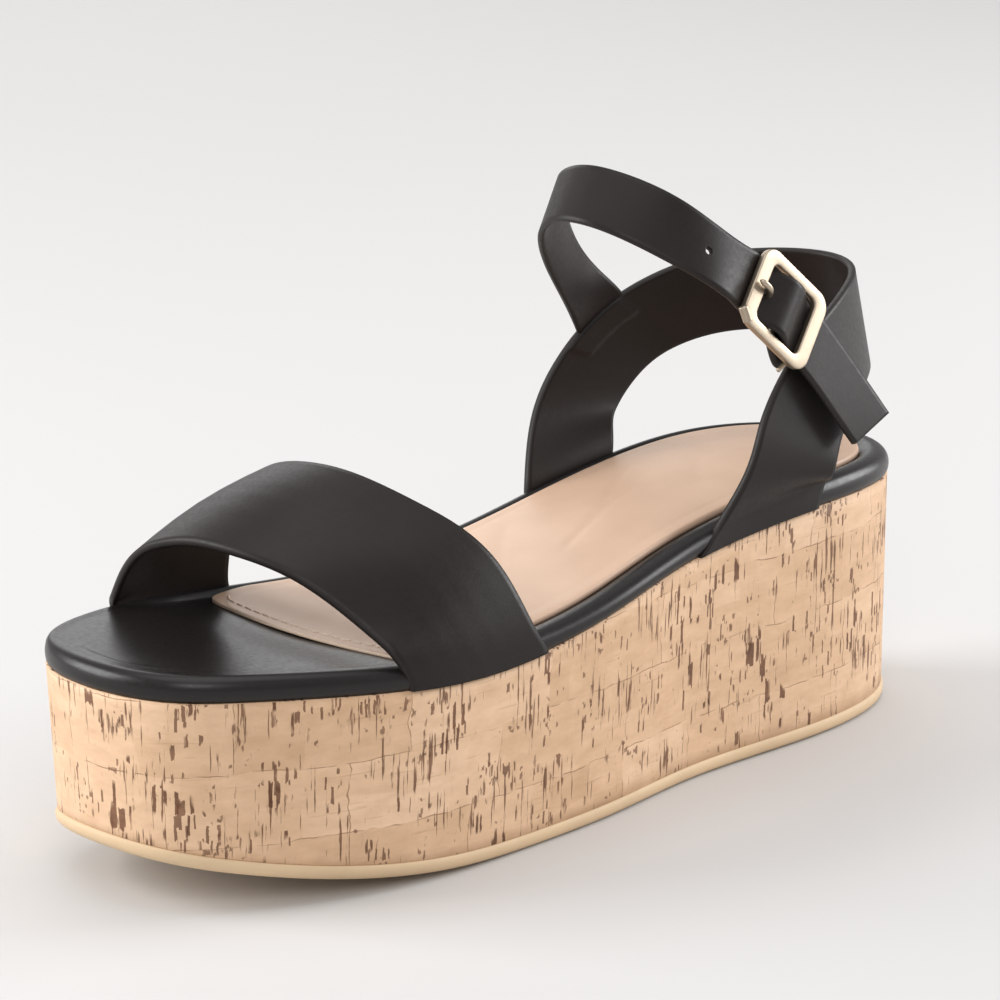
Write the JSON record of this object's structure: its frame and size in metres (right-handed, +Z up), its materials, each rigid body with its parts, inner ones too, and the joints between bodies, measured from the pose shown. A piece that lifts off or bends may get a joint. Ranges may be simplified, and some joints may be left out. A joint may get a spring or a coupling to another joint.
{
  "type": "platform sandal",
  "caption": "Left platform sandal: cork-covered platform sole, padded footbed, wide toe strap, heel band and buckled ankle strap.",
  "frame": {"origin": "on the floor, under the middle of the sole's length and on the line from heel tip to toe tip", "axes": "+X towards the toe, +Y towards the outer (little toe) side of this left shoe, +Z up"},
  "size_m": [0.2486, 0.0824, 0.1471],
  "materials": {
    "outsole": "smooth tan rubber",
    "platform": "cork veneer with dark flecks over foam",
    "footbed": "soft black leather",
    "insole": "pale pinkish beige lining leather",
    "straps": "soft black leather, raw cut edges",
    "buckle": "polished pale gold plating"
  },
  "bodies": {
    "root": {"outsole": "outsole", "platform": "platform", "footbed": "footbed", "insole": "insole", "toe_strap": "straps", "heel_and_ankle_strap": "straps", "buckle": "buckle", "buckle_prong": "buckle"}
  },
  "joints": []
}
